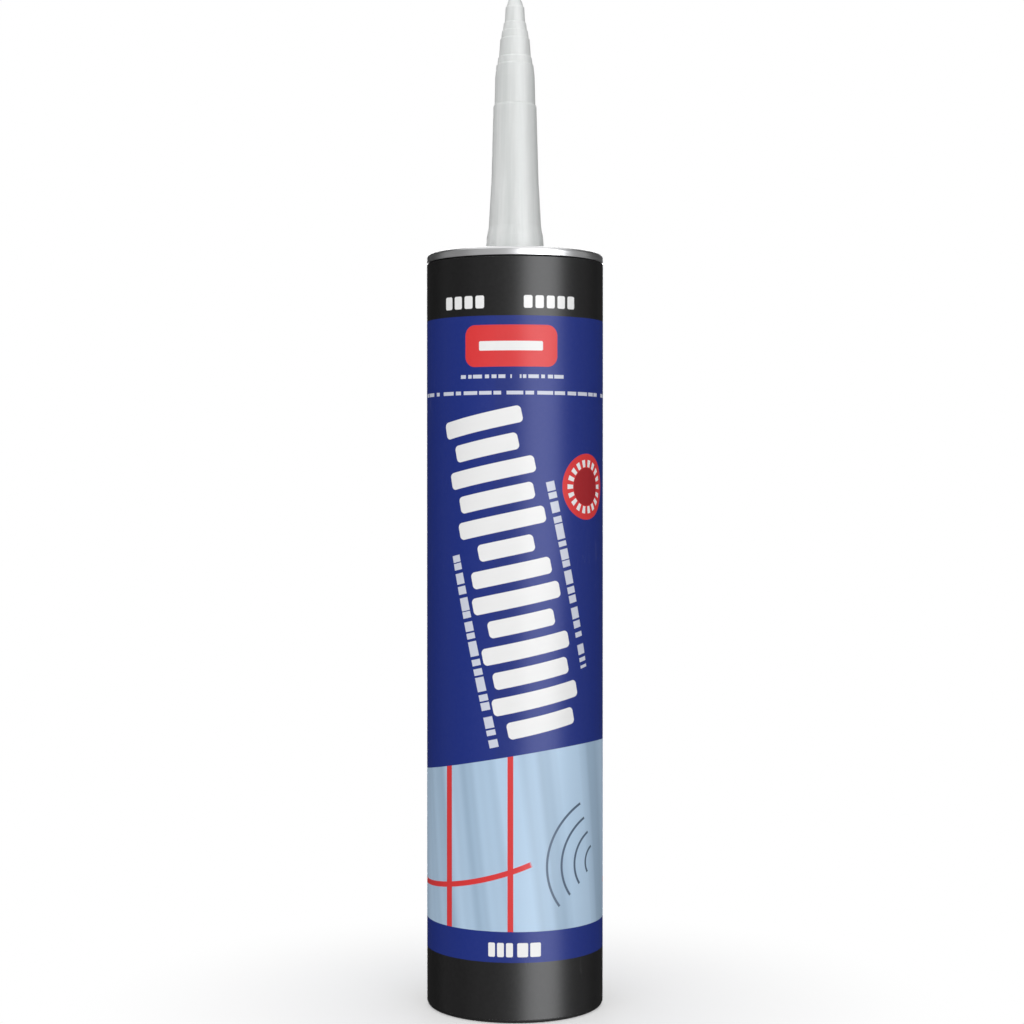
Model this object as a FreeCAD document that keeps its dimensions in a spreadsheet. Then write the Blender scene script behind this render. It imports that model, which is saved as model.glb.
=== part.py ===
import FreeCAD, Part
import os
import Sketcher

# Caulk tube: a 300 ml gun cartridge standing on its open rear rim, nozzle up along +Z.
# The origin is on the tube's axis in the plane of the rear rim. The printed front faces -Y
# and the label's lap is at the back, towards +Y. All sizes are in millimetres.

SIZES = [
    # wound fibreboard tube
    ("tube_bore", 47.3),
    ("tube_wall", 1.4),
    ("tube_length", 213.7),
    ("rear_edge_round", 1.0),
    ("tube_neck_run", 0.35),
    # printed paper label
    ("label_paper", 0.12),
    ("label_glue", 0.02),
    ("label_rear_margin", 1.1),
    ("label_front_margin", 0.1),
    ("label_lap_angle", 18.0),
    # pressed tinplate end and its rolled seam
    ("plate", 0.28),
    ("seam_height", 2.4),
    ("seam_gap", 0.02),
    ("crown_outer_round", 1.1),
    ("crown_inner_round", 0.45),
    ("hem_width", 0.7),
    ("hem_height", 0.5),
    ("hem_round", 0.16),
    ("panel_depth", 4.8),
    ("panel_corner_round", 0.9),
    ("panel_step_diameter", 34.0),
    ("panel_step_height", 0.9),
    ("panel_step_round", 0.25),
    ("collar_height", 1.8),
    ("collar_gap", 0.05),
    # moulded nozzle: each run is the height from the station below, the first from the flange
    ("flange_diameter", 25.0),
    ("flange_thickness", 1.3),
    ("nozzle_wall", 1.1),
    ("tip_wall", 1.3),
    ("tip_round", 1.1),
    ("foot_radius", 8.75),
    ("skirt_run", 9.5),
    ("skirt_radius", 8.0),
    ("shoulder_run", 2.9),
    ("shoulder_radius", 7.45),
    ("waist_run", 13.6),
    ("waist_radius", 6.68),
    ("barrel_run", 20.5),
    ("barrel_radius", 6.08),
    ("first_mark_run", 2.0),
    ("first_mark_radius", 5.72),
    ("upper_run", 6.5),
    ("upper_radius", 5.58),
    ("taper_run", 3.8),
    ("taper_radius", 5.12),
    ("second_mark_run", 2.0),
    ("second_mark_radius", 4.62),
    ("spout_run", 5.3),
    ("spout_radius", 4.02),
    ("third_mark_run", 2.3),
    ("third_mark_radius", 3.5),
    ("beak_run", 2.3),
    ("beak_radius", 3.0),
    ("tip_run", 4.5),
    ("tip_radius", 2.5),
    ("end_run", 3.1),
    ("end_radius", 1.4),
    # foil puncture seal
    ("foil_thickness", 0.1),
    ("foil_diameter", 21.0),
    # moulded cup plunger: heights above its rear edge
    ("plunger_height", 17.5),
    ("plunger_gap", 0.1),
    ("plunger_relief", 0.7),
    ("plunger_wall", 1.5),
    ("plunger_face_wall", 1.8),
    ("plunger_face_bevel", 2.6),
    ("plunger_bevel_height", 0.9),
    ("lip_height", 1.4),
    ("lip_run", 1.6),
    ("hub_radius", 8.0),
    ("hub_wall", 1.3),
    ("rib_thickness", 1.2),
    ("rib_height", 6.0),
    ("rib_count", 8),
    # sealant
    ("fill_length", 171.0),
    ("fill_gap", 0.05),
]

SHEET = "Sizes"
FULL_TURN = "360"

# Levels and radii that several pieces share
BORE_RADIUS = "Sizes.tube_bore / 2"
TUBE_RADIUS = "(Sizes.tube_bore / 2 + Sizes.tube_wall)"
LABEL_INSIDE = "(Sizes.tube_bore / 2 + Sizes.tube_wall + Sizes.label_glue)"
LABEL_RADIUS = f"({LABEL_INSIDE} + Sizes.label_paper)"
CHANNEL_TOP = "(Sizes.tube_length + Sizes.seam_gap)"
RIM_TOP = "(Sizes.tube_length + Sizes.seam_gap + Sizes.plate)"
SEAM_FOOT = f"({RIM_TOP} - Sizes.seam_height)"
HEM_TOP = f"({SEAM_FOOT} + Sizes.hem_height)"
NECK_START = f"({SEAM_FOOT} - Sizes.tube_neck_run - Sizes.seam_gap)"
CHUCK_OUTSIDE = f"({BORE_RADIUS} - Sizes.seam_gap)"
CHUCK_INSIDE = f"({BORE_RADIUS} - Sizes.seam_gap - Sizes.plate)"
PANEL_TOP = f"({RIM_TOP} - Sizes.panel_depth)"
PANEL_UNDERSIDE = f"({PANEL_TOP} - Sizes.plate)"
CENTRE_TOP = f"({PANEL_TOP} + Sizes.panel_step_height)"
CENTRE_UNDERSIDE = f"({CENTRE_TOP} - Sizes.plate)"
FLANGE_UNDERSIDE = f"({CENTRE_UNDERSIDE} - Sizes.flange_thickness)"
FOIL_UNDERSIDE = f"({FLANGE_UNDERSIDE} - Sizes.foil_thickness)"
PLUNGER_FACE = f"({FOIL_UNDERSIDE} - Sizes.fill_length)"

# The stations of the nozzle's outside, from its foot to its tip
NOZZLE_STATIONS = [
    "skirt",
    "shoulder",
    "waist",
    "barrel",
    "first_mark",
    "upper",
    "taper",
    "second_mark",
    "spout",
    "third_mark",
    "beak",
    "tip",
]


def add_sheet(doc):
    """The spreadsheet of driving dimensions, one named row for each."""
    sheet = doc.addObject("Spreadsheet::Sheet", SHEET)
    for row, (name, value) in enumerate(SIZES, start=1):
        sheet.set(f"A{row}", name.replace("_", " "))
        sheet.set(f"B{row}", str(value))
        sheet.setAlias(f"B{row}", name)
    doc.recompute()


def add_body(doc, label):
    """An empty body for one sub-part."""
    body = doc.addObject("PartDesign::Body", label)
    body.Label = label
    return body


def add_sketch(body, name, role):
    """An empty sketch on one of the body's own origin planes."""
    sketch = body.newObject("Sketcher::SketchObject", name)
    plane = next(p for p in body.Origin.OriginFeatures if p.Role == role)
    sketch.AttachmentSupport = [(plane, "")]
    sketch.MapMode = "FlatFace"
    return sketch


def pin_corner(sketch, line, kind, expression):
    """Holds one coordinate of the line's start at an expression, or on the axis when it is 0."""
    if expression == "0":
        across, upright = -1, -2
        axis = upright if kind == "DistanceX" else across
        sketch.addConstraint(Sketcher.Constraint("PointOnObject", line, 1, axis))
        return
    value = sketch.evalExpression(expression)
    constraint = sketch.addConstraint(Sketcher.Constraint(kind, -1, 1, line, 1, value))
    sketch.setExpression(f"Constraints[{constraint}]", expression)


def draw_outline(sketch, corners):
    """A closed outline of straight runs through corners given as pairs of expressions."""
    points = [
        FreeCAD.Vector(sketch.evalExpression(x), sketch.evalExpression(y), 0) for x, y in corners
    ]
    for start, end in zip(points, points[1:] + points[:1]):
        sketch.addGeometry(Part.LineSegment(start, end))
    for line, (x, y) in enumerate(corners):
        following = (line + 1) % len(corners)
        sketch.addConstraint(Sketcher.Constraint("Coincident", line, 2, following, 1))
        pin_corner(sketch, line, "DistanceX", x)
        pin_corner(sketch, line, "DistanceY", y)


def revolve(body, name, corners, angle=FULL_TURN, start="0"):
    """Turns a half section, given as radius and height pairs, about the body's Z axis."""
    sketch = add_sketch(body, f"{name}_section", "XZ_Plane")
    sketch.AttachmentOffset.Rotation.Axis = FreeCAD.Vector(0, 1, 0)
    sketch.setExpression("AttachmentOffset.Rotation.Angle", start)
    draw_outline(sketch, corners)
    turned = body.newObject("PartDesign::Revolution", name)
    turned.Profile = sketch
    turned.ReferenceAxis = (sketch, ["V_Axis"])
    turned.setExpression("Angle", angle)
    sketch.Document.recompute()
    return turned


def round_edges(body, name, radius, spots):
    """Rounds the circular edges that lie at the given radius and height pairs."""
    base = body.Tip
    wanted = [(base.evalExpression(r), base.evalExpression(z)) for r, z in spots]
    names = []
    for number, edge in enumerate(base.Shape.Edges, start=1):
        if edge.Curve.TypeId != "Part::GeomCircle":
            continue
        here = (edge.Curve.Radius, edge.Curve.Center.z)
        if any(abs(here[0] - r) < 1e-4 and abs(here[1] - z) < 1e-4 for r, z in wanted):
            names.append(f"Edge{number}")
    if len(names) != len(wanted):
        raise ValueError(f"{name}: found {len(names)} of {len(wanted)} edges")
    fillet = body.newObject("PartDesign::Fillet", name)
    fillet.Base = (base, names)
    fillet.setExpression("Radius", radius)
    body.Document.recompute()


def add_cartridge_tube(doc):
    """The wound fibreboard tube, necked in where the end's hem is rolled under its front edge."""
    body = add_body(doc, "cartridge_tube")
    neck = f"{LABEL_RADIUS} - Sizes.hem_width - Sizes.seam_gap"
    edge = f"{LABEL_RADIUS} - Sizes.plate - Sizes.seam_gap"
    above_hem = f"{HEM_TOP} + Sizes.seam_gap"
    revolve(
        body,
        "wound_wall",
        [
            (BORE_RADIUS, "0"),
            (TUBE_RADIUS, "0"),
            (TUBE_RADIUS, NECK_START),
            (neck, f"{SEAM_FOOT} - Sizes.seam_gap"),
            (neck, above_hem),
            (edge, above_hem),
            (edge, "Sizes.tube_length"),
            (BORE_RADIUS, "Sizes.tube_length"),
        ],
    )
    round_edges(body, "rear_edge", "Sizes.rear_edge_round", [(TUBE_RADIUS, "0")])
    round_edges(body, "seamed_edge", "Sizes.crown_outer_round - Sizes.plate", [(edge, "Sizes.tube_length")])
    return body


def add_label_wrap(doc):
    """The printed paper label, one sheet whose end laps over its start at the back."""
    body = add_body(doc, "label_wrap")
    bottom = "Sizes.label_rear_margin"
    top = f"{NECK_START} - Sizes.label_front_margin"
    lap_radius = f"{LABEL_RADIUS} + Sizes.label_paper"
    revolve(
        body,
        "wrap",
        [(LABEL_INSIDE, bottom), (LABEL_RADIUS, bottom), (LABEL_RADIUS, top), (LABEL_INSIDE, top)],
    )
    revolve(
        body,
        "lap",
        [(LABEL_INSIDE, bottom), (lap_radius, bottom), (lap_radius, top), (LABEL_INSIDE, top)],
        "Sizes.label_lap_angle",
        "90 - Sizes.label_lap_angle / 2",
    )
    return body


def add_front_end(doc):
    """The pressed end: seam crown, hem, chuck wall, stepped panel and the collar round the nozzle."""
    body = add_body(doc, "front_end")
    hem_inside = f"{LABEL_RADIUS} - Sizes.hem_width"
    channel = f"{LABEL_RADIUS} - Sizes.plate"
    step = "Sizes.panel_step_diameter / 2"
    hole = "(Sizes.foot_radius + Sizes.collar_gap)"
    collar_top = f"{CENTRE_TOP} + Sizes.collar_height"
    revolve(
        body,
        "pressing",
        [
            (hem_inside, SEAM_FOOT),
            (LABEL_RADIUS, SEAM_FOOT),
            (LABEL_RADIUS, RIM_TOP),
            (CHUCK_INSIDE, RIM_TOP),
            (CHUCK_INSIDE, PANEL_TOP),
            (step, PANEL_TOP),
            (step, CENTRE_TOP),
            (f"{hole} + Sizes.plate", CENTRE_TOP),
            (f"{hole} + Sizes.plate", collar_top),
            (hole, collar_top),
            (hole, CENTRE_UNDERSIDE),
            (f"{step} - Sizes.plate", CENTRE_UNDERSIDE),
            (f"{step} - Sizes.plate", PANEL_UNDERSIDE),
            (CHUCK_OUTSIDE, PANEL_UNDERSIDE),
            (CHUCK_OUTSIDE, CHANNEL_TOP),
            (channel, CHANNEL_TOP),
            (channel, HEM_TOP),
            (hem_inside, HEM_TOP),
        ],
    )
    round_edges(body, "crown_outside", "Sizes.crown_outer_round", [(LABEL_RADIUS, RIM_TOP)])
    round_edges(body, "crown_lining", "Sizes.crown_outer_round - Sizes.plate", [(channel, CHANNEL_TOP)])
    round_edges(body, "crown_inside", "Sizes.crown_inner_round", [(CHUCK_INSIDE, RIM_TOP)])
    hem_edges = [(LABEL_RADIUS, SEAM_FOOT), (hem_inside, SEAM_FOOT)]
    round_edges(body, "hem_corners", "Sizes.hem_round", hem_edges)
    round_edges(body, "panel_corner", "Sizes.panel_corner_round", [(CHUCK_INSIDE, PANEL_TOP)])
    corner_below = "Sizes.panel_corner_round + Sizes.plate"
    round_edges(body, "panel_corner_below", corner_below, [(CHUCK_OUTSIDE, PANEL_UNDERSIDE)])
    round_edges(body, "step_corners", "Sizes.panel_step_round", [(step, PANEL_TOP), (step, CENTRE_TOP)])
    round_edges(body, "collar_corner", "Sizes.panel_step_round", [(f"{hole} + Sizes.plate", CENTRE_TOP)])
    return body


def add_nozzle(doc):
    """The hollow moulded nozzle, closed at its tip, with its flange under the end's panel."""
    body = add_body(doc, "nozzle")
    outside = []
    level = "0"
    for name in NOZZLE_STATIONS:
        level = f"{level} + Sizes.{name}_run"
        outside.append((f"Sizes.{name}_radius", level))
    top = f"{level} + Sizes.end_run"
    inside = [(f"{radius} - Sizes.nozzle_wall", height) for radius, height in reversed(outside)]
    flange = "Sizes.flange_diameter / 2"
    foot_bore = "Sizes.foot_radius - Sizes.nozzle_wall"
    revolve(
        body,
        "moulding",
        [
            (foot_bore, "-Sizes.flange_thickness"),
            (flange, "-Sizes.flange_thickness"),
            (flange, "0"),
            ("Sizes.foot_radius", "0"),
            *outside,
            ("Sizes.end_radius", top),
            ("0", top),
            ("0", f"{top} - Sizes.tip_wall"),
            *inside,
        ],
    )
    round_edges(body, "tip_end", "Sizes.tip_round", [("Sizes.end_radius", top)])
    body.setExpression("Placement.Base.z", CENTRE_UNDERSIDE)
    return body


def add_foil_seal(doc):
    """The foil disc bonded under the nozzle's flange, which the user pierces."""
    body = add_body(doc, "foil_seal")
    edge = "Sizes.foil_diameter / 2"
    foil = "Sizes.foil_thickness"
    revolve(body, "disc", [("0", "0"), (edge, "0"), (edge, foil), ("0", foil)])
    body.setExpression("Placement.Base.z", FOIL_UNDERSIDE)
    return body


def add_plunger(doc):
    """The moulded cup piston: two wiping lips, a bevelled face, a hub ring and radial ribs."""
    body = add_body(doc, "plunger")
    lip = f"({BORE_RADIUS} - Sizes.plunger_gap)"
    relief = f"({lip} - Sizes.plunger_relief)"
    inside = f"({relief} - Sizes.plunger_wall)"
    ceiling = "(Sizes.plunger_height - Sizes.plunger_face_wall)"
    front_lip = "(Sizes.plunger_height - Sizes.plunger_bevel_height)"
    front_lip_foot = f"({front_lip} - Sizes.lip_height)"
    revolve(
        body,
        "cup",
        [
            (inside, "0"),
            (lip, "0"),
            (lip, "Sizes.lip_height"),
            (relief, "Sizes.lip_height + Sizes.lip_run"),
            (relief, f"{front_lip_foot} - Sizes.lip_run"),
            (lip, front_lip_foot),
            (lip, front_lip),
            (f"{lip} - Sizes.plunger_face_bevel", "Sizes.plunger_height"),
            ("0", "Sizes.plunger_height"),
            ("0", ceiling),
            (inside, ceiling),
        ],
    )
    rib_foot = f"{ceiling} - Sizes.rib_height"
    hub_inside = "Sizes.hub_radius - Sizes.hub_wall"
    hub = "Sizes.hub_radius"
    revolve(
        body,
        "hub_ring",
        [(hub_inside, rib_foot), (hub, rib_foot), (hub, ceiling), (hub_inside, ceiling)],
    )
    rib_root = f"{inside} + Sizes.plunger_wall / 2"
    rib_start = "Sizes.hub_radius - Sizes.hub_wall / 2"
    sketch = add_sketch(body, "rib_side", "XZ_Plane")
    draw_outline(
        sketch,
        [(rib_start, rib_foot), (rib_root, rib_foot), (rib_root, ceiling), (rib_start, ceiling)],
    )
    rib = body.newObject("PartDesign::Pad", "rib")
    rib.Profile = sketch
    rib.setExpression("Length", "Sizes.rib_thickness")
    rib.SideType = "Symmetric"
    doc.recompute()
    ribs = body.newObject("PartDesign::PolarPattern", "ribs")
    ribs.Originals = [rib]
    ribs.Axis = (next(a for a in body.Origin.OriginFeatures if a.Role == "Z_Axis"), [""])
    ribs.setExpression("Angle", FULL_TURN)
    ribs.setExpression("Occurrences", "Sizes.rib_count")
    body.Tip = ribs
    body.setExpression("Placement.Base.z", f"{PLUNGER_FACE} - Sizes.plunger_height")
    return body


def add_sealant(doc):
    """The fill, from the plunger's face to the end, hollowed round the nozzle's flange."""
    body = add_body(doc, "sealant")
    outside = f"{BORE_RADIUS} - Sizes.fill_gap"
    flange = "Sizes.flange_diameter / 2 + Sizes.fill_gap"
    corner = f"{PANEL_UNDERSIDE} - Sizes.panel_corner_round - Sizes.plate"
    corner_inside = f"{outside} - Sizes.panel_corner_round - Sizes.plate"
    top = f"{PANEL_UNDERSIDE} - Sizes.fill_gap"
    middle = f"{FOIL_UNDERSIDE} - Sizes.fill_gap"
    bottom = f"{PLUNGER_FACE} + Sizes.fill_gap"
    revolve(
        body,
        "fill",
        [
            ("0", bottom),
            (outside, bottom),
            (outside, corner),
            (corner_inside, top),
            (flange, top),
            (flange, middle),
            ("0", middle),
        ],
    )
    return body


def check(doc, bodies):
    """Stops if an object of the document failed or a sub-part is not one valid solid."""
    for item in doc.Objects:
        if "Invalid" in item.State or "Error" in item.State:
            raise RuntimeError(f"{item.Name} failed: {item.State}")
    for body in bodies:
        shape = body.Shape
        if shape.isNull() or not shape.isValid() or len(shape.Solids) != 1:
            raise RuntimeError(f"{body.Label} is not one valid solid")


def export(bodies):
    """Writes each sub-part to a STEP file named after its label."""
    os.makedirs("parts", exist_ok=True)
    for body in bodies:
        body.Shape.exportStep(f"parts/{body.Label}.step")
        box = body.Shape.BoundBox
        print(f"{body.Label}: {body.Shape.Volume:.0f} mm3, z {box.ZMin:.2f} to {box.ZMax:.2f}")


doc = FreeCAD.newDocument("caulk_tube")
add_sheet(doc)
bodies = [
    add_cartridge_tube(doc),
    add_label_wrap(doc),
    add_front_end(doc),
    add_nozzle(doc),
    add_foil_seal(doc),
    add_plunger(doc),
    add_sealant(doc),
]
doc.recompute()
check(doc, bodies)
export(bodies)
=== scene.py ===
import math

import bmesh
import bpy
from mathutils import Matrix, Vector


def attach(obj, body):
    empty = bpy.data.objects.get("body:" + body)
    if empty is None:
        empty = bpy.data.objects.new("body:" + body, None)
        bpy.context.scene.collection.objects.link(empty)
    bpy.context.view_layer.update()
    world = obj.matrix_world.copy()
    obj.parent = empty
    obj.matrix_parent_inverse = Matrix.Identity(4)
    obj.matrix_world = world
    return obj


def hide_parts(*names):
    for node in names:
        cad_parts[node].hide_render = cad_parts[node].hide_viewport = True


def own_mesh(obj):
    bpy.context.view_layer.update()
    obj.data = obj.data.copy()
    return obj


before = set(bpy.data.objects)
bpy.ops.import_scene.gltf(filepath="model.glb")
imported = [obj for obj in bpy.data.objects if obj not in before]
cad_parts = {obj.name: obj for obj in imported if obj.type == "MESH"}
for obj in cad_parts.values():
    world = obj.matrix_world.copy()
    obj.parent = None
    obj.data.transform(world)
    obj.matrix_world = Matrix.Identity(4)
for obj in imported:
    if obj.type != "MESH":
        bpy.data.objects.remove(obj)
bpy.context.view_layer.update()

MM = 0.001

# Studio camera. It stands level with the middle of the upright tube, a little over half a
# metre in front of it, and looks down by about half a degree.

CAMERA_DISTANCE = 589.5
CAMERA_HEIGHT = 146.7
CAMERA_ASIDE = -0.85
CAMERA_DIP = 0.585
LENS = 72.3

camera_data = bpy.data.cameras.new("studio_camera")
camera_data.lens = LENS
camera_data.sensor_width = 36.0
camera_data.clip_start = 0.01
camera_data.clip_end = 60.0
camera = bpy.data.objects.new("studio_camera", camera_data)
camera.location = (CAMERA_ASIDE * MM, -CAMERA_DISTANCE * MM, CAMERA_HEIGHT * MM)
camera.rotation_euler = (math.radians(90.0 - CAMERA_DIP), 0.0, 0.0)
bpy.context.collection.objects.link(camera)
bpy.context.scene.camera = camera
bpy.context.scene.view_settings.view_transform = "Standard"

# Studio room. White walls far off, which the eye, the gloss and clear things see at full
# white, while the soft light that they give is kept at a plain level.

ROOM_LEVEL = 0.42


def add(tree, kind, values=None, **settings):
    """A shader node with its settings, and each input given a value or joined to a socket."""
    node = tree.nodes.new("ShaderNode" + kind)
    for name, value in settings.items():
        setattr(node, name, value)
    for name, value in (values or {}).items():
        if isinstance(value, bpy.types.NodeSocket):
            tree.links.new(value, node.inputs[name])
        else:
            node.inputs[name].default_value = value
    return node


def calc(tree, operation, *values):
    """The result of one sum on numbers."""
    return add(tree, "Math", dict(enumerate(values)), operation=operation).outputs[0]


def seen_directly(tree):
    """1 where the eye, a reflection or a clear thing looks, and 0 for the light that is given."""
    rays = add(tree, "LightPath").outputs
    straight = calc(tree, "MAXIMUM", rays["Is Camera Ray"], rays["Is Glossy Ray"])
    return calc(tree, "MAXIMUM", straight, rays["Is Transmission Ray"])


room = bpy.data.worlds.new("white_room")
room.use_nodes = True
room.node_tree.nodes.clear()
room_level = add(
    room.node_tree, "MapRange", {"Value": seen_directly(room.node_tree), "To Min": ROOM_LEVEL}
).outputs[0]
walls = add(room.node_tree, "Background", {"Color": (1, 1, 1, 1), "Strength": room_level})
add(room.node_tree, "OutputWorld", {"Surface": walls.outputs[0]})
bpy.context.scene.world = room

# Studio floor. Matt white card that fades into the white walls away from the tube. It takes
# the tube's shadow, and it can be seen through from below.

FLOOR_DROP = 0.05
FLOOR_REACH = 6000.0
FLOOR_WHITE = 0.94
FADE_START = 0.024
FADE_END = 0.13
FADE_LEAST = 0.35

floor_shape = bmesh.new()
bmesh.ops.create_circle(floor_shape, cap_ends=True, segments=96, radius=FLOOR_REACH * MM)
bmesh.ops.translate(floor_shape, vec=(0, 0, -FLOOR_DROP * MM), verts=floor_shape.verts)
floor_mesh = bpy.data.meshes.new("studio_floor")
floor_shape.to_mesh(floor_mesh)
floor_shape.free()
floor = bpy.data.objects.new("studio_floor", floor_mesh)
bpy.context.collection.objects.link(floor)
floor.visible_glossy = False
floor.visible_diffuse = False
floor.visible_shadow = False

floor_finish = bpy.data.materials.new("white_card")
floor_finish.use_nodes = True
tree = floor_finish.node_tree
tree.nodes.clear()
away = add(tree, "VectorMath", {0: add(tree, "TexCoord").outputs["Object"]}, operation="LENGTH")
fade = add(
    tree,
    "MapRange",
    {
        "Value": away.outputs["Value"],
        "From Min": FADE_START,
        "From Max": FADE_END,
        "To Min": FADE_LEAST,
    },
    interpolation_type="SMOOTHSTEP",
).outputs[0]
card = add(tree, "BsdfDiffuse", {"Color": (FLOOR_WHITE, FLOOR_WHITE, FLOOR_WHITE, 1)})
white = add(tree, "Emission", {"Color": (1, 1, 1, 1), "Strength": 1.0})
faded = calc(tree, "MULTIPLY", fade, seen_directly(tree))
above = add(tree, "MixShader", {0: faded, 1: card.outputs[0], 2: white.outputs[0]})
clear = add(tree, "BsdfTransparent")
below = add(tree, "NewGeometry").outputs["Backfacing"]
sheet = add(tree, "MixShader", {0: below, 1: above.outputs[0], 2: clear.outputs[0]})
add(tree, "OutputMaterial", {"Surface": sheet.outputs[0]})
floor_mesh.materials.append(floor_finish)

# Studio lamps. A tall soft box to the right of the camera makes the long highlight, and a dimmer
# one makes another at the back. Two wide ones in front, one behind and one above give plain
# light with no highlight of their own, and a small one below lights the open bore.

TUBE_MIDDLE = 0.12
HIGHLIGHT_TINT = (0.97, 0.985, 1.0)

# Name, width, height, turn, rise, distance, level, and whether the lamp shines or lights
LAMPS = (
    ("highlight_box", 0.90, 1.50, 35.0, 0.0, 1.05, 4.3, True),
    ("key_box", 0.9, 1.0, 20.0, 12.0, 1.3, 1.75, False),
    ("fill_box", 0.9, 1.0, -26.0, 12.0, 1.3, 1.65, False),
    ("back_box", 0.45, 1.3, 180.0, 0.0, 1.3, 3.2, False),
    ("top_box", 1.2, 1.2, 0.0, 90.0, 1.3, 1.6, False),
    ("back_shine", 0.40, 1.5, 180.0, 0.0, 1.05, 3.6, True),
    ("bore_box", 0.12, 0.12, 0.0, -90.0, 0.55, 22.0, False),
)


def soft_box(name, width, height, turn, rise, distance, level, shines):
    """A soft rectangle of light facing the tube's middle, turned from the camera's side and
    raised by angles in degrees. It either shines in glossy surfaces or lights matt ones."""
    lamp = bpy.data.lights.new(name, "AREA")
    lamp.shape = "RECTANGLE"
    lamp.size = width
    lamp.size_y = height
    lamp.energy = level * width * height * math.pi
    box = bpy.data.objects.new(name, lamp)
    flat = math.cos(math.radians(rise))
    away = Vector(
        (
            math.sin(math.radians(turn)) * flat,
            -math.cos(math.radians(turn)) * flat,
            math.sin(math.radians(rise)),
        )
    )
    box.location = away * distance + Vector((0.0, 0.0, TUBE_MIDDLE))
    box.rotation_euler = (-away).to_track_quat("-Z", "Y").to_euler()
    box.visible_camera = False
    box.visible_glossy = shines
    box.visible_diffuse = not shines
    bpy.context.collection.objects.link(box)


for lamp_values in LAMPS:
    soft_box(*lamp_values)
bpy.data.lights["highlight_box"].color = HIGHLIGHT_TINT

# Grey cards. They stand round the tube, and one lies low under the floor. Only shiny surfaces
# show them, and they give the tube's edges and the metal rim their darker tones. Each has the
# angles from the camera's side that it spans, to the right where they are above 0, and its grey.

GREY_CARDS = (
    (-60.0, 9.0, 0.42),
    (-107.0, -60.0, 0.24),
    (-167.0, -108.0, 0.05),
    (60.0, 106.0, 0.22),
    (107.0, 167.0, 0.05),
)
CARD_DISTANCE = 0.55
CARD_HEIGHT = 1.6
LOW_CARD = 0.9
LOW_CARD_DROP = 0.7
LOW_CARD_GREY = 0.30


def stand_card(card_shape, grey):
    """A card of one grey, seen only in shiny surfaces, made from its shape."""
    card_finish = bpy.data.materials.new("grey_card")
    card_finish.use_nodes = True
    card_finish.node_tree.nodes.clear()
    tone = add(card_finish.node_tree, "Emission", {"Color": (1, 1, 1, 1), "Strength": grey})
    add(card_finish.node_tree, "OutputMaterial", {"Surface": tone.outputs[0]})
    card_mesh = bpy.data.meshes.new("grey_card")
    card_shape.to_mesh(card_mesh)
    card_shape.free()
    card_mesh.materials.append(card_finish)
    grey_card = bpy.data.objects.new("grey_card", card_mesh)
    bpy.context.collection.objects.link(grey_card)
    grey_card.visible_camera = False
    grey_card.visible_diffuse = False
    grey_card.visible_shadow = False
    grey_card.visible_transmission = False


for first, last, grey in GREY_CARDS:
    middle = math.radians((first + last) / 2)
    wide = 2 * CARD_DISTANCE * math.tan(math.radians((last - first) / 2))
    card_shape = bmesh.new()
    bmesh.ops.create_grid(card_shape, x_segments=1, y_segments=1, size=0.5)
    bmesh.ops.scale(card_shape, vec=(wide, CARD_HEIGHT, 1), verts=card_shape.verts)
    upright = Matrix.Rotation(math.pi / 2, 3, "X")
    bmesh.ops.rotate(card_shape, cent=(0, 0, 0), matrix=upright, verts=card_shape.verts)
    bmesh.ops.translate(card_shape, vec=(0, -CARD_DISTANCE, TUBE_MIDDLE), verts=card_shape.verts)
    around = Matrix.Rotation(middle, 3, "Z")
    bmesh.ops.rotate(card_shape, cent=(0, 0, 0), matrix=around, verts=card_shape.verts)
    stand_card(card_shape, grey)
low_shape = bmesh.new()
bmesh.ops.create_circle(low_shape, cap_ends=True, segments=64, radius=LOW_CARD)
bmesh.ops.translate(low_shape, vec=(0, 0, -LOW_CARD_DROP), verts=low_shape.verts)
stand_card(low_shape, LOW_CARD_GREY)

# Board tube. Wound fibreboard with a black outside, a rounded rear edge that shows its plies,
# and a foil lining in the bore. Its front edge is necked in under the rolled seam.

BORE = 23.65
TUBE = 25.05
REAR_ROUND = 1.0
NECK_START = 211.23
NECK = 24.47
NECK_FOOT = 211.58
ABOVE_HEM = 212.12
SEAMED_EDGE = 24.89
TUBE_TOP = 213.70
SEAMED_ROUND = 0.82
LINING_PITCH = 96.0
LINING_JOINT = 0.5
LINING_MARGIN = 0.02
PLY_MARGIN = 0.01
TURN_STEPS = 160


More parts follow.
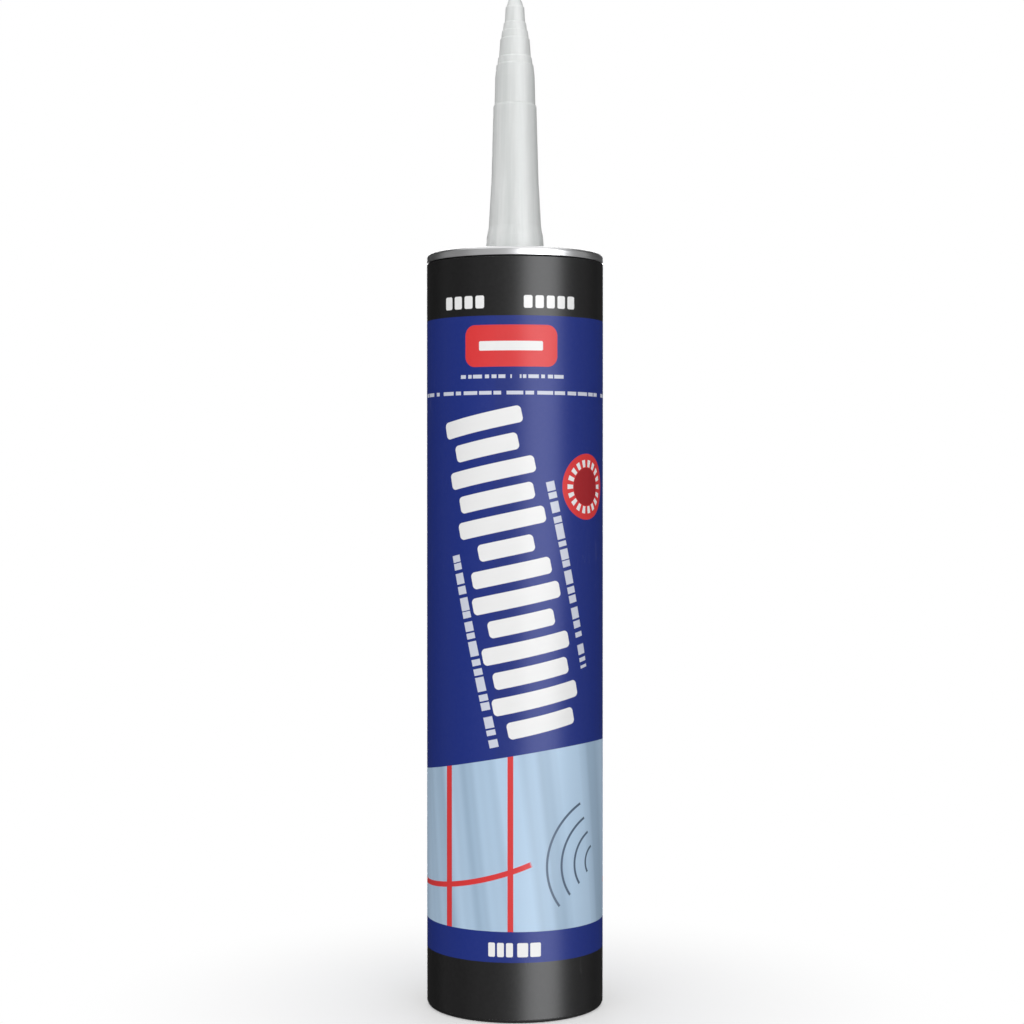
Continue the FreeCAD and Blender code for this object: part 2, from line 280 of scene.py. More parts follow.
def turned(corners, rounds=None, steps=TURN_STEPS, arc=math.tau, start=0.0, segments=4):
    """A shape turned about the tube's axis from an outline of radius and height in mm. Corners
    named by number in rounds get that radius, and an outline open at the axis closes there."""
    shape = bmesh.new()
    dots = [shape.verts.new((radius * MM, 0.0, height * MM)) for radius, height in corners]
    for here, there in zip(dots, dots[1:] + dots[:1]):
        if here.co.x > 0 or there.co.x > 0:
            shape.edges.new((here, there))
    count = len(corners)
    for number, radius in (rounds or {}).items():
        here = Vector(corners[number])
        back = Vector(corners[number - 1]) - here
        ahead = Vector(corners[(number + 1) % count]) - here
        bend = math.pi - back.angle(ahead)
        bmesh.ops.bevel(
            shape,
            geom=[dots[number]],
            offset=radius * math.tan(bend / 2) * MM,
            offset_type="OFFSET",
            segments=segments,
            profile=0.5,
            affect="VERTICES",
            clamp_overlap=True,
            material=-1,
        )
    turn = Matrix.Rotation(start, 3, "Z")
    bmesh.ops.rotate(shape, verts=shape.verts, cent=(0, 0, 0), matrix=turn)
    bmesh.ops.spin(
        shape,
        geom=shape.verts[:] + shape.edges[:],
        cent=(0, 0, 0),
        axis=(0, 0, 1),
        angle=arc,
        steps=steps,
        use_merge=arc == math.tau,
    )
    bmesh.ops.remove_doubles(shape, verts=shape.verts, dist=0.001 * MM)
    bmesh.ops.recalc_face_normals(shape, faces=shape.faces)
    return shape


def finished(name, shape, materials, crease=38.0):
    """The piece made of a shape, smooth but for edges sharper than the crease angle."""
    for face in shape.faces:
        face.smooth = True
    for edge in shape.edges:
        edge.smooth = edge.calc_face_angle(math.pi) < math.radians(crease)
    mesh = bpy.data.meshes.new(name)
    shape.to_mesh(mesh)
    shape.free()
    for material in materials:
        mesh.materials.append(material)
    piece = bpy.data.objects.new(name, mesh)
    bpy.context.collection.objects.link(piece)
    even = piece.modifiers.new("even_shading", "WEIGHTED_NORMAL")
    even.keep_sharp = True
    return piece


def new_group(name, inputs, outputs):
    """A group of shader nodes, and the sockets that its own nodes read and write."""
    group = bpy.data.node_groups.new(name, "ShaderNodeTree")
    for side, sockets in (("INPUT", inputs), ("OUTPUT", outputs)):
        for socket, kind in sockets.items():
            group.interface.new_socket(socket, in_out=side, socket_type="NodeSocket" + kind)
    given = group.nodes.new("NodeGroupInput").outputs
    result = group.nodes.new("NodeGroupOutput").inputs
    return group, given, result


def use(tree, group, values):
    """A group placed in a material with its own values."""
    return add(tree, "Group", values, node_tree=group).outputs


def new_finish(name, **plain):
    """A material with its main shader, whose plain values are set on its own sockets."""
    material = bpy.data.materials.new(name)
    material.use_nodes = True
    tree = material.node_tree
    tree.nodes.clear()
    shader = add(tree, "BsdfPrincipled")
    for socket, value in plain.items():
        shader.inputs[socket.replace("_", " ")].default_value = value
    add(tree, "OutputMaterial", {"Surface": shader.outputs[0]})
    return material, tree, shader


def join(tree, source, shader, socket):
    """Joins a pattern to the shader's socket."""
    tree.links.new(source, shader.inputs[socket])


def blend(tree, under, mask, over):
    """One colour laid over another where the mask is 1."""
    node = add(tree, "Mix", {0: mask, 6: under, 7: over}, data_type="RGBA")
    return node.outputs[2]


def ramp(tree, value, low, high, start=0.0, end=1.0):
    """A value stretched from its own low and high to a new start and end, and held there."""
    limits = {"Value": value, "From Min": low, "From Max": high, "To Min": start, "To Max": end}
    return add(tree, "MapRange", limits).outputs[0]


def cloud(tree, place, scale, detail=3.0, roughness=0.5):
    """Soft uneven shade from 0 to 1."""
    values = {"Vector": place, "Scale": scale, "Detail": detail, "Roughness": roughness}
    return add(tree, "TexNoise", values).outputs[0]


def bumped(tree, shader, height, depth, strength=1.0):
    """Gives the shader fine relief of a depth in mm."""
    relief = add(tree, "Bump", {"Height": height, "Distance": depth * MM, "Strength": strength})
    tree.links.new(relief.outputs[0], shader.inputs["Normal"])


def sized(tree, place, along_x, along_y, along_z):
    """A place with each of its directions scaled."""
    scale = (along_x, along_y, along_z)
    return add(tree, "VectorMath", {0: place, 1: scale}, operation="MULTIPLY").outputs[0]


# Handling marks, on every hard surface: hair-thin scratches that run mostly one way.
handling_marks, given, result = new_group(
    "handling_marks", {"Place": "Vector", "Scale": "Float", "Amount": "Float"}, {"Mask": "Float"}
)
stretch = sized(handling_marks, given["Place"], 1.0, 1.0, 0.09)
wander = cloud(handling_marks, stretch, given["Scale"], 2.0)
hair = calc(handling_marks, "ABSOLUTE", calc(handling_marks, "SUBTRACT", wander, 0.5))
thin = ramp(handling_marks, hair, 0.0, 0.006, 1.0, 0.0)
here_and_there = ramp(
    handling_marks, cloud(handling_marks, given["Place"], 45.0, 2.0), 0.60, 0.72
)
marked = calc(handling_marks, "MULTIPLY", thin, here_and_there)
handling_marks.links.new(
    calc(handling_marks, "MULTIPLY", marked, given["Amount"]), result["Mask"]
)

board_black, tree, shader = new_finish("black_board", Specular_IOR_Level=0.3)
place = add(tree, "TexCoord").outputs["Object"]
fibres = cloud(tree, sized(tree, place, 1.0, 1.0, 3.0), 1600.0, 4.0, 0.6)
tone = blend(tree, (0.004, 0.004, 0.0042, 1), fibres, (0.009, 0.009, 0.0095, 1))
join(tree, tone, shader, "Base Color")
join(tree, ramp(tree, fibres, 0.0, 1.0, 0.42, 0.62), shader, "Roughness")
bumped(tree, shader, fibres, 0.02)

board_cut, tree, shader = new_finish("cut_board", Specular_IOR_Level=0.25)
place = add(tree, "TexCoord").outputs["Object"]
flat = sized(tree, place, 1.0, 1.0, 0.0)
outward = add(tree, "VectorMath", {0: flat}, operation="LENGTH").outputs["Value"]
wobble = cloud(tree, place, 300.0, 2.0)
plies = calc(tree, "ADD", calc(tree, "MULTIPLY", outward, 36000.0), wobble)
layers = calc(tree, "SINE", plies)
fibres = cloud(tree, place, 2600.0, 5.0, 0.7)
paper = blend(tree, (0.20, 0.165, 0.125, 1), fibres, (0.36, 0.31, 0.25, 1))
paper = blend(tree, paper, ramp(tree, layers, 0.2, 1.0, 0.0, 0.55), (0.10, 0.08, 0.06, 1))
join(tree, paper, shader, "Base Color")
join(tree, ramp(tree, fibres, 0.0, 1.0, 0.75, 0.95), shader, "Roughness")
bumped(tree, shader, calc(tree, "ADD", fibres, layers), 0.03)

foil_lining, tree, shader = new_finish("foil_lining", Metallic=0.55)
place = add(tree, "TexCoord").outputs["Object"]
creases = cloud(tree, place, 420.0, 4.0, 0.55)
axes = add(tree, "SeparateXYZ", {0: place}).outputs
around = calc(tree, "DIVIDE", calc(tree, "ARCTAN2", axes["X"], axes["Y"]), math.tau)
wound = calc(tree, "ADD", around, calc(tree, "DIVIDE", axes["Z"], LINING_PITCH * MM))
off_joint = calc(tree, "ABSOLUTE", calc(tree, "SUBTRACT", calc(tree, "FRACT", wound), 0.5))
joint = ramp(tree, off_joint, 0.0, LINING_JOINT / LINING_PITCH, 1.0, 0.0)
tone = blend(tree, (0.66, 0.66, 0.67, 1), creases, (0.78, 0.78, 0.79, 1))
tone = blend(tree, tone, joint, (0.34, 0.34, 0.34, 1))
join(tree, tone, shader, "Base Color")
join(tree, ramp(tree, creases, 0.2, 0.8, 0.34, 0.46), shader, "Roughness")
bumped(tree, shader, calc(tree, "SUBTRACT", creases, calc(tree, "MULTIPLY", joint, 2.0)), 0.02)

tube_shape = turned(
    [
        (BORE, 0.0),
        (TUBE, 0.0),
        (TUBE, NECK_START),
        (NECK, NECK_FOOT),
        (NECK, ABOVE_HEM),
        (SEAMED_EDGE, ABOVE_HEM),
        (SEAMED_EDGE, TUBE_TOP),
        (BORE, TUBE_TOP),
    ],
    {0: 0.06, 1: REAR_ROUND, 6: SEAMED_ROUND},
    segments=6,
)
for face in tube_shape.faces:
    middle = face.calc_center_median()
    radius = middle.xy.length / MM
    if radius < BORE + LINING_MARGIN:
        face.material_index = 2
    elif radius < TUBE - REAR_ROUND + PLY_MARGIN and middle.z < MM:
        face.material_index = 1
board_tube = finished("board_tube", tube_shape, [board_black, board_cut, foil_lining])
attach(board_tube, "cartridge")
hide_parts("cartridge_tube")

# Printed label. One sheet of varnished white paper wound round the tube and glued to itself
# in a lap down the back, printed in black, blue, pale blue, red and white.

LABEL_INSIDE = 25.07
LABEL_OUTSIDE = 25.19
LAP_OUTSIDE = 25.31
LABEL_BOTTOM = 1.10
LABEL_TOP = 211.13
LAP_ANGLE = 18.0

BLACK_INK = (0.0028, 0.0025, 0.0028, 1)
BLUE_INK = (0.0095, 0.0275, 0.2300, 1)
PALE_INK = (0.515, 0.690, 0.880, 1)
SHADOW_INK = (0.265, 0.385, 0.520, 1)
RED_INK = (0.780, 0.040, 0.042, 1)
DEEP_RED_INK = (0.400, 0.012, 0.018, 1)
WHITE_PAPER = (0.93, 0.93, 0.93, 1)
SMALL_PRINT = (0.68, 0.71, 0.82, 1)
GREY_INK = (0.085, 0.130, 0.210, 1)

TOP_BAND = 194.9
BOTTOM_BAND = 16.9
PANEL_BOTTOM = 25.4
PANEL_LEVEL = 71.64
PANEL_SWELL = 4.77
PANEL_TURN = 0.494
BAND_PITCH = 10.0
BAND_SLANT = 0.12
BAND_SEED = 4.0
ARC_SOURCES = (27.0, -52.0)
ARC_LEVEL = 43.0
ARC_RADII = (4.5, 9.0, 13.5, 18.0)
ARC_WIDTH = 0.7
ARC_FACING = 165.0
ARC_OPENING = 0.60
RED_SHIFTS = (0.0, 74.5)
RED_LINES = ((-20.5, 2.1), (-1.3, 1.6))
RED_LINE_LEVEL = 52.0
RED_LINE_HEIGHT = 60.0
CURVE_ASIDE = -38.0
CURVE_CENTRE = 151.0
CURVE_RADIUS = 115.2
CURVE_WIDTH = 1.5
CURVE_FACING = -79.2
CURVE_OPENING = 0.9823
SHARP_CORNER = 0.1
PRINT_EDGE = 0.06
VARNISH_ROUGHNESS = 0.36
VARNISH_ON_BLACK = 0.88
VARNISH_ON_COLOUR = 0.44
SCUFF_WEAR = 4.0
LAP_SLIP = 0.4

label_finish, tree, shader = new_finish(
    "varnished_print", Specular_IOR_Level=0.05, Coat_Roughness=VARNISH_ROUGHNESS, Coat_IOR=1.5
)
place = add(tree, "TexCoord").outputs["Object"]
axes = add(tree, "SeparateXYZ", {0: place}).outputs
facing = calc(tree, "ARCTAN2", axes["X"], calc(tree, "MULTIPLY", axes["Y"], -1.0))
flat = sized(tree, place, 1.0, 1.0, 0.0)
outward = add(tree, "VectorMath", {0: flat}, operation="LENGTH").outputs["Value"]
slip = calc(tree, "GREATER_THAN", outward, (LABEL_OUTSIDE + LAP_OUTSIDE) / 2 * MM)
slip = calc(tree, "MULTIPLY", slip, LAP_SLIP)
across = calc(tree, "ADD", calc(tree, "MULTIPLY", facing, LABEL_OUTSIDE), slip)
upward = calc(tree, "ADD", calc(tree, "DIVIDE", axes["Z"], MM), slip)
spot = add(tree, "CombineXYZ", {"X": across, "Y": upward}).outputs[0]


def placed(tree, given):
    """The place as seen from a mark's centre, turned with the mark."""
    offset = add(tree, "VectorMath", {0: given["Place"], 1: given["Centre"]}, operation="SUBTRACT")
    values = {"Vector": offset.outputs[0], "Angle": calc(tree, "MULTIPLY", given["Turn"], -1.0)}
    return add(tree, "VectorRotate", values, rotation_type="Z_AXIS").outputs[0]


# A bar of ink with rounded corners. Places and sizes are in mm on the flat sheet.
ink_bar, given, result = new_group(
    "ink_bar",
    {"Place": "Vector", "Centre": "Vector", "Size": "Vector", "Corner": "Float", "Turn": "Float"},
    {"Mask": "Float"},
)
side = add(ink_bar, "VectorMath", {0: placed(ink_bar, given)}, operation="ABSOLUTE")
half = add(ink_bar, "VectorMath", {0: given["Size"], 1: (0.5, 0.5, 0.5)}, operation="MULTIPLY")
past = add(ink_bar, "VectorMath", {0: side.outputs[0], 1: half.outputs[0]}, operation="SUBTRACT")
past = add(ink_bar, "VectorMath", {0: past.outputs[0], 1: given["Corner"]}, operation="ADD")
past = add(ink_bar, "VectorMath", {0: past.outputs[0], 1: (0, 0, 0)}, operation="MAXIMUM")
past = add(ink_bar, "VectorMath", {0: past.outputs[0], 1: (1, 1, 0)}, operation="MULTIPLY")
reach = add(ink_bar, "VectorMath", {0: past.outputs[0]}, operation="LENGTH").outputs["Value"]
beyond = calc(ink_bar, "SUBTRACT", reach, given["Corner"])
ink_bar.links.new(ramp(ink_bar, beyond, -PRINT_EDGE, PRINT_EDGE, 1.0, 0.0), result["Mask"])

# Lines of dashes that stand for small print, filling a box with words of uneven length.
WORD_FILL_LEAST = 0.50
WORD_FILL_MOST = 0.90
WORD_DRIFT = 1.5
ROW_SPREAD = 7.3
LAST_LINE_CUT = 0.42
ink_lines, given, result = new_group(
    "ink_lines",
    {
        "Place": "Vector",
        "Centre": "Vector",
        "Width": "Float",
        "Height": "Float",
        "Line Pitch": "Float",
        "Line Height": "Float",
        "Word Pitch": "Float",
        "Turn": "Float",
        "Seed": "Float",
    },
    {"Mask": "Float"},
)
local = add(ink_lines, "SeparateXYZ", {0: placed(ink_lines, given)}).outputs
from_left = calc(ink_lines, "ADD", local["X"], calc(ink_lines, "MULTIPLY", given["Width"], 0.5))
from_foot = calc(ink_lines, "ADD", local["Y"], calc(ink_lines, "MULTIPLY", given["Height"], 0.5))
rows = calc(ink_lines, "DIVIDE", from_foot, given["Line Pitch"])
row = calc(ink_lines, "FLOOR", rows)
row_seed = add(ink_lines, "CombineXYZ", {"X": row, "Y": given["Seed"]}).outputs[0]
row_shift = add(ink_lines, "TexWhiteNoise", {"Vector": row_seed}).outputs[0]
words = calc(ink_lines, "DIVIDE", from_left, given["Word Pitch"])
words = calc(ink_lines, "ADD", words, row_shift)
row_place = calc(ink_lines, "MULTIPLY", row, ROW_SPREAD)
drift_seed = add(ink_lines, "CombineXYZ", {"X": words, "Y": row_place})
drift = add(ink_lines, "TexNoise", {"Vector": drift_seed.outputs[0], "Scale": 0.7, "Detail": 0.0})
words = calc(ink_lines, "ADD", words, calc(ink_lines, "MULTIPLY", drift.outputs[0], WORD_DRIFT))
word = calc(ink_lines, "FLOOR", words)
word_seed = add(ink_lines, "CombineXYZ", {"X": word, "Y": row, "Z": given["Seed"]}).outputs[0]
word_luck = add(ink_lines, "TexWhiteNoise", {"Vector": word_seed}).outputs[0]
filled = ramp(ink_lines, word_luck, 0.0, 1.0, WORD_FILL_LEAST, WORD_FILL_MOST)
in_word = calc(ink_lines, "SUBTRACT", filled, calc(ink_lines, "FRACT", words))
in_word = calc(ink_lines, "MULTIPLY", in_word, given["Word Pitch"])
off_line = calc(ink_lines, "SUBTRACT", calc(ink_lines, "FRACT", rows), 0.5)
off_line = calc(ink_lines, "ABSOLUTE", off_line)
off_line = calc(ink_lines, "MULTIPLY", off_line, given["Line Pitch"])
half_line = calc(ink_lines, "MULTIPLY", given["Line Height"], 0.5)
in_line = calc(ink_lines, "SUBTRACT", half_line, off_line)
last_row = calc(ink_lines, "LESS_THAN", row, 0.5)
over_one_line = calc(ink_lines, "MULTIPLY", given["Line Pitch"], 1.5)
has_lines = calc(ink_lines, "GREATER_THAN", given["Height"], over_one_line)
ragged = calc(ink_lines, "MULTIPLY", last_row, has_lines)
cut = calc(ink_lines, "MULTIPLY", given["Width"], LAST_LINE_CUT)
cut = calc(ink_lines, "MULTIPLY", cut, ragged)
row_length = calc(ink_lines, "SUBTRACT", given["Width"], cut)
from_right = calc(ink_lines, "SUBTRACT", row_length, from_left)
from_top = calc(ink_lines, "SUBTRACT", given["Height"], from_foot)
inside = calc(ink_lines, "MINIMUM", from_left, from_right)
inside = calc(ink_lines, "MINIMUM", inside, calc(ink_lines, "MINIMUM", from_foot, from_top))
inked = calc(ink_lines, "MINIMUM", inside, calc(ink_lines, "MINIMUM", in_word, in_line))
ink_lines.links.new(ramp(ink_lines, inked, -PRINT_EDGE, PRINT_EDGE), result["Mask"])

# A ring or an arc of ink, plain or cut into ticks. Opening is the cosine of the half angle.
ink_ring, given, result = new_group(
    "ink_ring",
    {
        "Place": "Vector",
        "Centre": "Vector",
        "Radius": "Float",
        "Width": "Float",
        "Ticks": "Float",
        "Facing": "Vector",
        "Opening": "Float",
    },
    {"Mask": "Float"},
)
offset = add(ink_ring, "VectorMath", {0: given["Place"], 1: given["Centre"]}, operation="SUBTRACT")
offset = offset.outputs[0]
reach = add(ink_ring, "VectorMath", {0: offset}, operation="LENGTH").outputs["Value"]
off_ring = calc(ink_ring, "ABSOLUTE", calc(ink_ring, "SUBTRACT", reach, given["Radius"]))
in_ring = calc(ink_ring, "SUBTRACT", calc(ink_ring, "MULTIPLY", given["Width"], 0.5), off_ring)
pointing = add(ink_ring, "VectorMath", {0: offset, 1: given["Facing"]}, operation="DOT_PRODUCT")
turned_to = calc(ink_ring, "DIVIDE", pointing.outputs["Value"], reach)
in_arc = calc(ink_ring, "MULTIPLY", calc(ink_ring, "SUBTRACT", turned_to, given["Opening"]), reach)
local = add(ink_ring, "SeparateXYZ", {0: offset}).outputs
angle = calc(ink_ring, "ARCTAN2", local["Y"], local["X"])
beat = calc(ink_ring, "COSINE", calc(ink_ring, "MULTIPLY", angle, given["Ticks"]))
inked = calc(ink_ring, "MINIMUM", in_ring, in_arc)
inked = calc(ink_ring, "MINIMUM", inked, calc(ink_ring, "ADD", beat, 0.1))
ink_ring.links.new(ramp(ink_ring, inked, -PRINT_EDGE, PRINT_EDGE), result["Mask"])


def bar(across, upward, width, height, corner=0.3, turn=0.0):
    """The mask of one bar of ink."""
    values = {
        "Place": spot,
        "Centre": (across, upward, 0),
        "Size": (width, height, 0),
        "Corner": corner,
        "Turn": math.radians(turn),
    }
    return use(tree, ink_bar, values)[0]


def lines(across, upward, width, height, pitch, thick, word, turn=0.0, seed=0.0):
    """The mask of a block of small print."""
    values = {
        "Place": spot,
        "Centre": (across, upward, 0),
        "Width": width,
        "Height": height,
        "Line Pitch": pitch,
        "Line Height": thick,
        "Word Pitch": word,
        "Turn": math.radians(turn),
        "Seed": seed,
    }
    return use(tree, ink_lines, values)[0]


def ring(across, upward, radius, width, ticks=0.0, facing=0.0, opening=-2.0):
    """The mask of a ring, a ring of ticks or an arc."""
    values = {
        "Place": spot,
        "Centre": (across, upward, 0),
        "Radius": radius,
        "Width": width,
        "Ticks": ticks,
        "Facing": (math.cos(math.radians(facing)), math.sin(math.radians(facing)), 0),
        "Opening": opening,
    }
    return use(tree, ink_ring, values)[0]


def bar_row(groups, upward, height, corner):
    """The masks of bars in one row, from groups with a start, a bar's width, a gap and a count."""
    masks = []
    for start, width, gap, count in groups:
        for number in range(count):
            middle = start + width / 2 + number * (width + gap)
            masks.append(bar(middle, upward, width, height, corner))
    return masks


def together(masks):
    """One mask of all of these."""
    whole = masks[0]
    for mask in masks[1:]:
        whole = calc(tree, "MAXIMUM", whole, mask)
    return whole


def higher_than(value, level):
    """1 above a level and 0 below it, with a print's soft edge."""
    over = calc(tree, "SUBTRACT", value, level)
    return ramp(tree, over, -PRINT_EDGE, PRINT_EDGE)


# The pale panel: soft slanted bands, thin grey arcs, and red lines with a long red curve.
slant = calc(tree, "ADD", across, calc(tree, "MULTIPLY", upward, BAND_SLANT))
band = calc(tree, "DIVIDE", slant, BAND_PITCH)
stripe = add(tree, "CombineXYZ", {"X": band, "Y": BAND_SEED}).outputs[0]
bands = cloud(tree, stripe, 1.0, 2.0, 0.5)
panel = blend(tree, PALE_INK, ramp(tree, bands, 0.44, 0.62, 0.0, 0.6), SHADOW_INK)
grey_arcs = []
for source in ARC_SOURCES:
    for radius in ARC_RADII:
        arc = ring(source, ARC_LEVEL, radius, ARC_WIDTH, 0.0, ARC_FACING, ARC_OPENING)
        grey_arcs.append(arc)
panel = blend(tree, panel, together(grey_arcs), GREY_INK)
red_lines = []
for shift in RED_SHIFTS:
    for line, width in RED_LINES:
        upright = bar(shift + line, RED_LINE_LEVEL, width, RED_LINE_HEIGHT, SHARP_CORNER)
        red_lines.append(upright)
    curve_place = (shift + CURVE_ASIDE, CURVE_CENTRE, CURVE_RADIUS, CURVE_WIDTH)
    red_lines.append(ring(*curve_place, 0.0, CURVE_FACING, CURVE_OPENING))
panel = blend(tree, panel, together(red_lines), RED_INK)

# The blue field and the bands above and below it.
swell = calc(tree, "SINE", calc(tree, "ADD", facing, PANEL_TURN))
panel_top = calc(tree, "ADD", calc(tree, "MULTIPLY", swell, PANEL_SWELL), PANEL_LEVEL)
ink = blend(tree, BLUE_INK, higher_than(upward, PANEL_BOTTOM), panel)
ink = blend(tree, ink, higher_than(upward, panel_top), BLUE_INK)

# Small print, the strip all round, and the plain bars that stand for words. Small print has
# its place, width, height, line pitch, line height and word pitch.
FOOT_BARS = ((-7.5, 1.9, 0.6, 3), (0.6, 3.0, 0.6, 2))
TOP_BARS = ((-21.8, 2.6, 0.9, 4), (2.4, 2.4, 0.85, 5), (54.0, 2.4, 0.85, 5))
BAR_LENGTHS = [24.0, 19.0, 25.5, 22.0, 25.5, 16.0, 23.0, 25.5, 19.0, 25.5, 22.0, 25.5, 20.0]
BAR_HEIGHT = 4.7
BAR_CORNER = 1.2
FIRST_BAR_ACROSS = -9.9
FIRST_BAR_LEVEL = 165.6
BARS_DRIFT = 17.6
BARS_FALL = 83.0
WORD_TURN = 12.0
LINE_TURN = 90.0 + 12.9
COLUMN = 57.0
COLUMN_WIDTH = 30.0
BADGE = (-1.2, 186.6)
STAMP = (22.95, 147.9)
STAMP_TICKS = 18.0

small_marks = [
    lines(-8.55, 178.2, 15.3, 1.7, 1.7, 1.0, 2.4, seed=3.0),
    lines(7.85, 178.2, 13.1, 1.7, 1.7, 1.0, 2.4, seed=4.0),
    lines(0.0, 173.7, 157.0, 1.8, 1.8, 1.0, 4.2, seed=11.0),
]
white_marks = bar_row(FOOT_BARS, 20.4, 3.9, 0.4)
for number, length in enumerate(BAR_LENGTHS):
    along = number / (len(BAR_LENGTHS) - 1)
    middle = (FIRST_BAR_ACROSS + BARS_DRIFT * along, FIRST_BAR_LEVEL - BARS_FALL * along)
    white_marks.append(bar(*middle, length, BAR_HEIGHT, BAR_CORNER, WORD_TURN))
small_marks.append(lines(15.7, 123.8, 54.0, 4.2, 4.2, 2.5, 3.3, LINE_TURN, 5.0))
small_marks.append(lines(-11.75, 102.2, 55.0, 4.5, 4.5, 2.6, 3.3, LINE_TURN, 8.0))
for side in (-1, 1):
    middle = side * COLUMN
    white_marks.append(bar(middle, 160.0, 28.0, 2.2, 0.3))
    small_marks.append(lines(middle, 132.0, COLUMN_WIDTH, 45.0, 2.25, 0.8, 4.6, seed=20.0 + side))
    small_marks.append(bar(middle, 104.5, COLUMN_WIDTH, 0.35, 0.1))
    small_marks.append(lines(middle, 93.0, COLUMN_WIDTH, 18.0, 2.25, 0.8, 4.6, seed=30.0 + side))
ink = blend(tree, ink, together(small_marks), SMALL_PRINT)
ink = blend(tree, ink, together(white_marks), WHITE_PAPER)

# The red badge and the round red stamp with its ring of ticks.
ink = blend(tree, ink, bar(*BADGE, 26.6, 11.5, 3.0), RED_INK)
ink = blend(tree, ink, bar(*BADGE, 18.0, 2.6, 0.4), WHITE_PAPER)
ink = blend(tree, ink, ring(*STAMP, 4.6, 9.2), RED_INK)
ink = blend(tree, ink, ring(*STAMP, 6.5, 2.0, STAMP_TICKS), WHITE_PAPER)
ink = blend(tree, ink, ring(*STAMP, 2.65, 5.3), DEEP_RED_INK)
top_marks = bar_row(TOP_BARS, 198.7, 3.5, 0.5)
top_ink = blend(tree, BLACK_INK, together(top_marks), WHITE_PAPER)
in_top_band = higher_than(upward, TOP_BAND)
ink = blend(tree, ink, in_top_band, top_ink)
in_middle = higher_than(upward, BOTTOM_BAND)
ink = blend(tree, BLACK_INK, in_middle, ink)

# Paper shows at the sheet's cut edges, where scuffs have worn the ink, and in the ink's mottle.
normal = add(tree, "TexCoord").outputs["Normal"]
out = add(tree, "VectorMath", {0: flat}, operation="NORMALIZE").outputs[0]
lying = add(tree, "VectorMath", {0: normal, 1: out}, operation="DOT_PRODUCT").outputs["Value"]
cut_edge = ramp(tree, calc(tree, "ABSOLUTE", lying), 0.35, 0.65, 0.55, 0.0)
mottle = cloud(tree, place, 900.0, 3.0, 0.6)
ink = blend(tree, ink, ramp(tree, mottle, 0.35, 0.75, 0.0, 0.004), WHITE_PAPER)
scuffs = use(tree, handling_marks, {"Place": place, "Scale": 260.0, "Amount": 0.05})[0]
ink = blend(tree, ink, scuffs, WHITE_PAPER)
ink = blend(tree, ink, cut_edge, WHITE_PAPER)
join(tree, ink, shader, "Base Color")
grain = cloud(tree, place, 2200.0, 4.0, 0.55)
waves = cloud(tree, sized(tree, place, 1.0, 1.0, 0.5), 48.0, 2.0)
on_black = calc(tree, "MAXIMUM", in_top_band, calc(tree, "SUBTRACT", 1.0, in_middle))
varnish = ramp(tree, on_black, 0.0, 1.0, VARNISH_ON_COLOUR, VARNISH_ON_BLACK)
varnish = calc(tree, "SUBTRACT", varnish, calc(tree, "MULTIPLY", scuffs, SCUFF_WEAR))
join(tree, varnish, shader, "Coat Weight")
join(tree, ramp(tree, grain, 0.3, 0.7, 0.50, 0.60), shader, "Roughness")
relief = calc(tree, "ADD", calc(tree, "MULTIPLY", grain, 0.06), calc(tree, "MULTIPLY", waves, 1.6))
bumped(tree, shader, relief, 0.12)


def take_in(shape, extra):
    """Adds the faces of another shape, which is then freed."""
    extra_mesh = bpy.data.meshes.new("extra")
    extra.to_mesh(extra_mesh)
    extra.free()
    shape.from_mesh(extra_mesh)
    bpy.data.meshes.remove(extra_mesh)


label_shape = turned(
    [
        (LABEL_INSIDE, LABEL_BOTTOM),
        (LABEL_OUTSIDE, LABEL_BOTTOM),
        (LABEL_OUTSIDE, LABEL_TOP),
        (LABEL_INSIDE, LABEL_TOP),
    ],
    {1: 0.03, 2: 0.03},
    segments=2,
)
lap_half = math.radians(LAP_ANGLE / 2)
lap_shape = turned(
    [
        (LABEL_INSIDE + 0.02, LABEL_BOTTOM),
        (LAP_OUTSIDE, LABEL_BOTTOM),
        (LAP_OUTSIDE, LABEL_TOP),
        (LABEL_INSIDE + 0.02, LABEL_TOP),
    ],
    {1: 0.03, 2: 0.03},
    steps=20,
    arc=2 * lap_half,
    start=math.pi / 2 - lap_half,
    segments=2,
)
bmesh.ops.holes_fill(lap_shape, edges=[e for e in lap_shape.edges if e.is_boundary], sides=0)
bmesh.ops.recalc_face_normals(lap_shape, faces=lap_shape.faces)
take_in(label_shape, lap_shape)
printed_label = finished("printed_label", label_shape, [label_finish])
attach(printed_label, "cartridge")
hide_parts("label_wrap")

# Tinplate end. A disc of bright tinned steel pressed to a stepped panel with a collar in the
# middle, and rolled over the tube's front edge so that its hem grips the board.

RIM_TOP = 214.0
SEAM_FOOT = 211.60
HEM_INSIDE = 24.49
HEM_TOP = 212.10
CHANNEL = 24.91
CHANNEL_TOP = 213.72
CHUCK_INSIDE = 23.35
CHUCK_OUTSIDE = 23.63
PANEL_TOP = 209.20
PANEL_UNDERSIDE = 208.92
STEP = 17.0
CENTRE_TOP = 210.10
CENTRE_UNDERSIDE = 209.82
COLLAR_INSIDE = 8.80
COLLAR_OUTSIDE = 9.08
COLLAR_TOP = 211.90
BEAD = 20.1
BEAD_DEPTH = 0.14
BEAD_HALF = 0.75
ROLL_MIDDLE = 212.55
ROLL_BELOW = 0.45
ROLL_ABOVE = 0.35
ROLL_WAIST = 0.05
PLATE = 0.28

